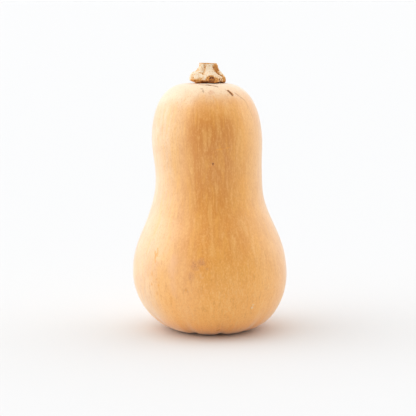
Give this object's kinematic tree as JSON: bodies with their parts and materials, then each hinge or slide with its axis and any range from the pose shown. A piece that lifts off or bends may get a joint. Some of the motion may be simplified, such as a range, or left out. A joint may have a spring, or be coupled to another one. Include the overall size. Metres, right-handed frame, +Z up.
{
  "type": "butternut squash",
  "caption": "Whole butternut squash that stands upright on its blossom end: a round bulb, a thick neck and a cut woody stem.",
  "frame": {"origin": "on the surface that the squash stands on, under the middle of the bulb", "axes": "+Z up through the neck to the stem, -Y towards the front, +X to the right seen from the front"},
  "size_m": [0.121, 0.121, 0.2084],
  "materials": {
    "rind": "waxy, matte to satin skin, tan orange with fine pale dashes that run up the fruit",
    "stem_wood": "dry corky bark, pale tan with brown grooves and knuckles"
  },
  "bodies": {
    "root": {"fruit": "rind", "stem": "stem_wood"}
  },
  "joints": []
}
